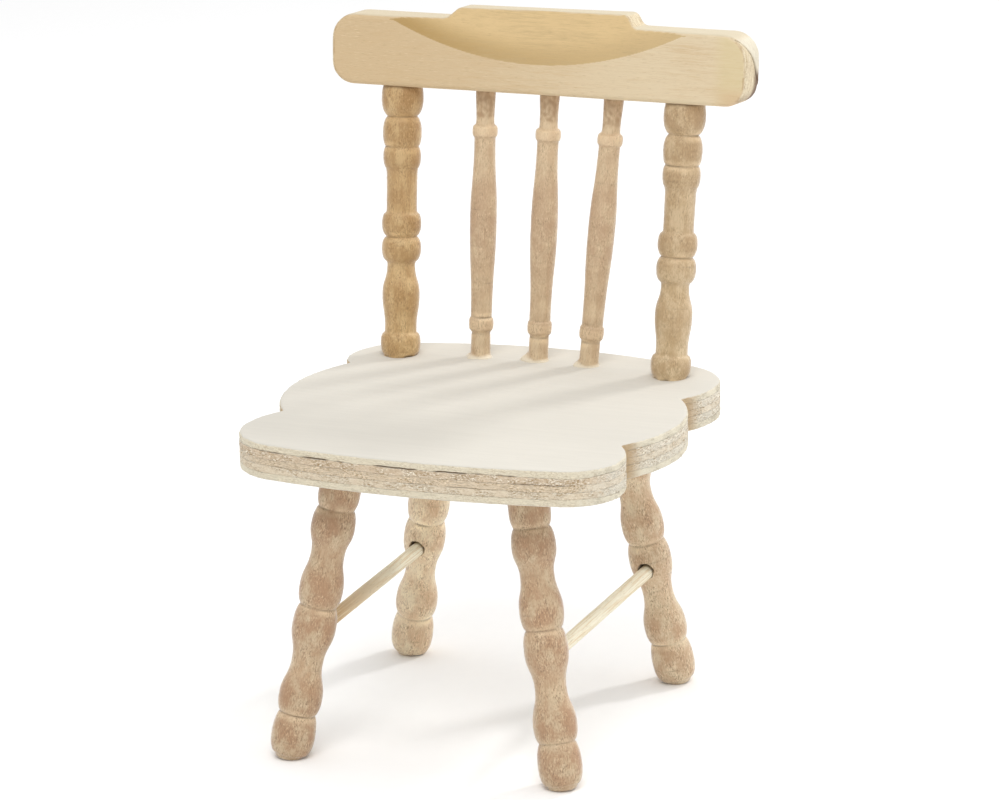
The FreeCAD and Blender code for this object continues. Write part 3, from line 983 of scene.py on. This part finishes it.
def rail_mesh(name):
    """The rail with a softened surface, raised grain and a split in its right-hand end."""
    low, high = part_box(RAIL)
    place = Matrix.Translation((low + high) / 2) @ Matrix.Rotation(-RAIL_TILT, 4, "X")
    mesh = even_copy(name, RAIL, place)
    half = (high.x - low.x) / 2
    marks = {"scoop": [], "scoop_depth": [], "groove": [], "behind": [], "bark_and_shade": []}
    normals = [v.normal.copy() for v in mesh.vertices]
    front = min(v.co.y for v in mesh.vertices)
    for vertex, normal in zip(mesh.vertices, normals):
        spot = vertex.co.copy()
        inside, depth = scoop_marks(spot, normal, front, half)
        split, behind, bark_and_shade = end_marks(spot, normal, half)
        for values, value in zip(marks.values(), (inside, depth, split, behind, bark_and_shade)):
            values.append(value)
        vertex.co = spot + normal * (rail_grain(spot, normal) - SPLIT_CUT * split)
    for mark, values in marks.items():
        store(mesh, mark, values)
    mesh.shade_smooth()
    return mesh, place


# ---------------------------------------------------------------- the chair

def add_legs():
    """Four legs; the two at the back are paler, and bored for the stretchers."""
    wood = leg_wood()
    tones = {"leg_back_left": (1.1, 1.0), "leg_back_right": (0.5, 0.45)}
    for node, seed in seeded(LEGS, 100):
        mesh, place = turned_mesh(node + "_turned", node, seed, tones.get(node, (0.0, 0.0)),
                                  floor=0.0, ceiling=SEAT_BOTTOM + 0.4 * MM)
        if "back" in node:
            mesh = bored(mesh, place, socket_cutter("stretcher_" + node.split("_")[-1]))
        new_piece(node + "_turned", mesh, wood, node, place)


def add_posts(rail):
    """Two back posts with worn feet; the right-hand one is greyer."""
    woods = {"back_post_left": post_wood(), "back_post_right": greyer_post_wood()}
    for node, seed in seeded(POSTS, 200):
        mesh, place = turned_mesh(node + "_turned", node, seed, (0.4, -0.3), worn=0.3 * MM,
                                  rail=rail)
        new_piece(node + "_turned", mesh, woods[node], node, place)


def add_spindles(rail):
    """Three spindles, each with its own amount of glue at the foot."""
    wood = spindle_wood()
    collars = {"spindle_left": 1.2, "spindle_centre": 0.7, "spindle_right": 0.6}
    for node, seed in seeded(SPINDLES, 300):
        mesh, place = turned_mesh(node + "_turned", node, seed, collar=collars[node] * MM,
                                  rail=rail, browned=4.6 * MM)
        new_piece(node + "_turned", mesh, wood, node, place)


def add_stretchers():
    """Two dowels; the left-hand one is browner towards the front."""
    wood = dowel_wood()
    tones = {"stretcher_left": (1.4, -0.6), "stretcher_right": (0.0, 0.1)}
    for node, seed in seeded(STRETCHERS, 400):
        mesh, place = turned_mesh(node + "_dowel", node, seed, tones[node])
        new_piece(node + "_dowel", mesh, wood, node, place)


def add_seat():
    """Five plies with one outline."""
    line, out = seat_outline()
    for number, (node, wood) in enumerate(zip(PLIES, seat_woods())):
        new_piece(node + "_sheet", ply_mesh(node + "_sheet", number, line, out), wood, node)


def add_rail():
    """The scooped crest rail."""
    mesh, place = rail_mesh(RAIL + "_scooped")
    new_piece(RAIL + "_scooped", mesh, rail_wood(), RAIL, place)


rail_surface = solid_tree(RAIL)
add_legs()
add_posts(rail_surface)
add_spindles(rail_surface)
add_stretchers()
add_seat()
add_rail()


# ---------------------------------------------------------------- studio

def towards(azimuth, elevation):
    """Unit vector from the chair; azimuth 0 is in front of it and 90 degrees to its right."""
    a, e = math.radians(azimuth), math.radians(elevation)
    return Vector((math.sin(a) * math.cos(e), -math.cos(a) * math.cos(e), math.sin(e)))


def soft_light(name, azimuth, elevation, distance, size, power):
    """Square soft light that shines at the chair."""
    back = towards(azimuth, elevation)
    data = bpy.data.lights.new(name, "AREA")
    data.shape = "SQUARE"
    data.size = size
    data.energy = power
    lamp = link(name, data)
    lamp.location = CENTRE + back * distance
    lamp.rotation_mode = "QUATERNION"
    lamp.rotation_quaternion = (-back).to_track_quat("-Z", "Y")


def pale_floor():
    """Large plain floor with a slight, even tooth."""
    reach, steps = 3.0, 24
    points = [(reach * (2 * i / steps - 1), reach * (2 * j / steps - 1), 0)
              for j in range(steps + 1) for i in range(steps + 1)]
    row = steps + 1
    faces = [(j * row + i, j * row + i + 1, (j + 1) * row + i + 1, (j + 1) * row + i)
             for j in range(steps) for i in range(steps)]
    mesh = bpy.data.meshes.new("floor")
    mesh.from_pydata(points, [], faces)
    paint = Wood("pale_floor")
    tooth = paint.noise((2.0, 2.0, 2.0))
    colour = paint.mix(tooth, (0.96, 0.96, 0.96), (0.98, 0.98, 0.98))
    mesh.materials.append(paint.finish(colour, 0.9, tooth, 0.01, specular=0.0))
    link("floor", mesh)


def studio_air(brightness):
    """White surroundings that are dimmer on the camera's side of the chair."""
    world = bpy.data.worlds.new("studio")
    bpy.context.scene.world = world
    world.use_nodes = True
    tree = world.node_tree
    tree.nodes.clear()
    output = tree.nodes.new("ShaderNodeOutputWorld")
    glow = tree.nodes.new("ShaderNodeBackground")
    tree.links.new(glow.outputs[0], output.inputs["Surface"])
    split = tree.nodes.new("ShaderNodeSeparateXYZ")
    tree.links.new(tree.nodes.new("ShaderNodeTexCoord").outputs["Generated"], split.inputs[0])
    front = tree.nodes.new("ShaderNodeMapRange")
    tree.links.new(split.outputs["Y"], front.inputs["Value"])
    front.inputs["From Min"].default_value = -0.85
    front.inputs["From Max"].default_value = 0.05
    front.inputs["To Min"].default_value = 0.35 * brightness
    front.inputs["To Max"].default_value = brightness
    tree.links.new(front.outputs["Result"], glow.inputs["Strength"])


pale_floor()
studio_air(1.27)
soft_light("key_behind_right", 147, 40, distance=0.55, size=0.07, power=0.78)
soft_light("high_in_front", 12, 55, distance=0.7, size=0.4, power=2.35)

# The camera looks down on the chair from the right of its front
CAMERA_AZIMUTH, CAMERA_ELEVATION, CAMERA_ROLL = 21.0, 15.9, -1.0
CAMERA_DISTANCE, CAMERA_LENS = 0.6676, 172.8
AIM = CENTRE + Vector((-0.56, 7.89, -4.20)) * MM


def camera():
    """A long lens that looks down at AIM, with a small roll."""
    azimuth, roll = math.radians(CAMERA_AZIMUTH), math.radians(CAMERA_ROLL)
    forward = -towards(CAMERA_AZIMUTH, CAMERA_ELEVATION)
    right = Vector((math.cos(azimuth), math.sin(azimuth), 0))
    up = right.cross(forward)
    right, up = (math.cos(roll) * right + math.sin(roll) * up,
                 -math.sin(roll) * right + math.cos(roll) * up)
    data = bpy.data.cameras.new("camera")
    data.lens = CAMERA_LENS
    data.sensor_width = 36
    data.clip_start = 0.01
    data.clip_end = 50
    taker = link("camera", data)
    turn = Matrix((right, up, -forward)).transposed().to_4x4()
    taker.matrix_world = Matrix.Translation(AIM - forward * CAMERA_DISTANCE) @ turn
    bpy.context.scene.camera = taker


camera()
bpy.context.scene.view_settings.view_transform = "Standard"
